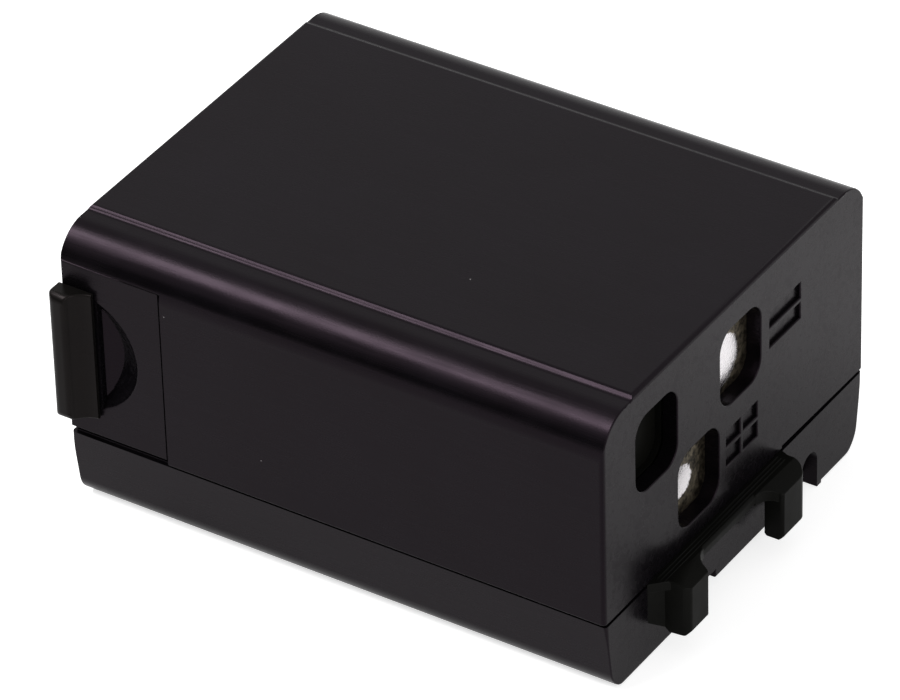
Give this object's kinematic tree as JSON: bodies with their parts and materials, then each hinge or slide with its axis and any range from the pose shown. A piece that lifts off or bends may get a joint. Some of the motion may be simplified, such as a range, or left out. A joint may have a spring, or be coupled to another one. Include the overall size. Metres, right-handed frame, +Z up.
{
  "type": "two-way radio battery",
  "caption": "Black plastic battery pack with rounded shoulders, terminal windows and hooks at one end and a sprung side latch at the other.",
  "frame": {"origin": "centre of the flat bottom face that the pack rests on, midway between both ends and both long sides of the case", "axes": "+X along the case to the end with the terminal windows and hooks, +Y to the far long side, +Z up to the raised plate"},
  "size_m": [0.0805, 0.0644, 0.0397],
  "materials": {
    "case_plastic": "satin moulded black",
    "hook_nylon": "satin moulded black nylon",
    "latch_plastic": "satin moulded black acetal",
    "slider_plastic": "satin moulded black acetal",
    "inner_plastic": "plain moulded black",
    "contact_nickel": "nickel plated, tarnished round the disc",
    "link_nickel": "plain nickel strip",
    "cell_jacket": "shrunk sleeve",
    "insulating_card": "pressed fibre card",
    "foam_pad": "closed cell foam",
    "cutout_body": "moulded",
    "red_wire": "insulated wire",
    "black_wire": "insulated wire",
    "spring_steel": "drawn wire"
  },
  "bodies": {
    "pack": {"upper_case": "case_plastic", "lower_case": "case_plastic", "hook_strip": "hook_nylon", "contact_plus": "contact_nickel", "contact_minus": "contact_nickel", "contact_carrier": "inner_plastic", "cell_1": "cell_jacket", "cell_2": "cell_jacket", "cell_3": "cell_jacket", "cell_4": "cell_jacket", "cell_5": "cell_jacket", "cell_6": "cell_jacket", "near_link_1": "link_nickel", "near_link_2": "link_nickel", "near_link_3": "link_nickel", "far_link_1": "link_nickel", "far_link_2": "link_nickel", "near_insulator": "insulating_card", "far_insulator": "insulating_card", "top_pad": "foam_pad", "base_pad": "foam_pad", "thermal_cutout": "cutout_body", "lead_plus": "red_wire", "lead_cutout": "black_wire", "lead_minus": "black_wire", "spring_bulkhead": "inner_plastic", "latch_spring_near": "spring_steel", "latch_spring_far": "spring_steel"},
    "latch": {"latch_slider": "slider_plastic", "latch_bar_near": "latch_plastic", "latch_bar_far": "latch_plastic"}
  },
  "joints": [
    {"name": "latch_slide", "type": "slide", "parent": "pack", "child": "latch", "axis": [1, 0, 0], "range_m": [0, 0.0014], "stiffness_N_per_m": 600, "deforming": ["latch_spring_near", "latch_spring_far"]}
  ]
}
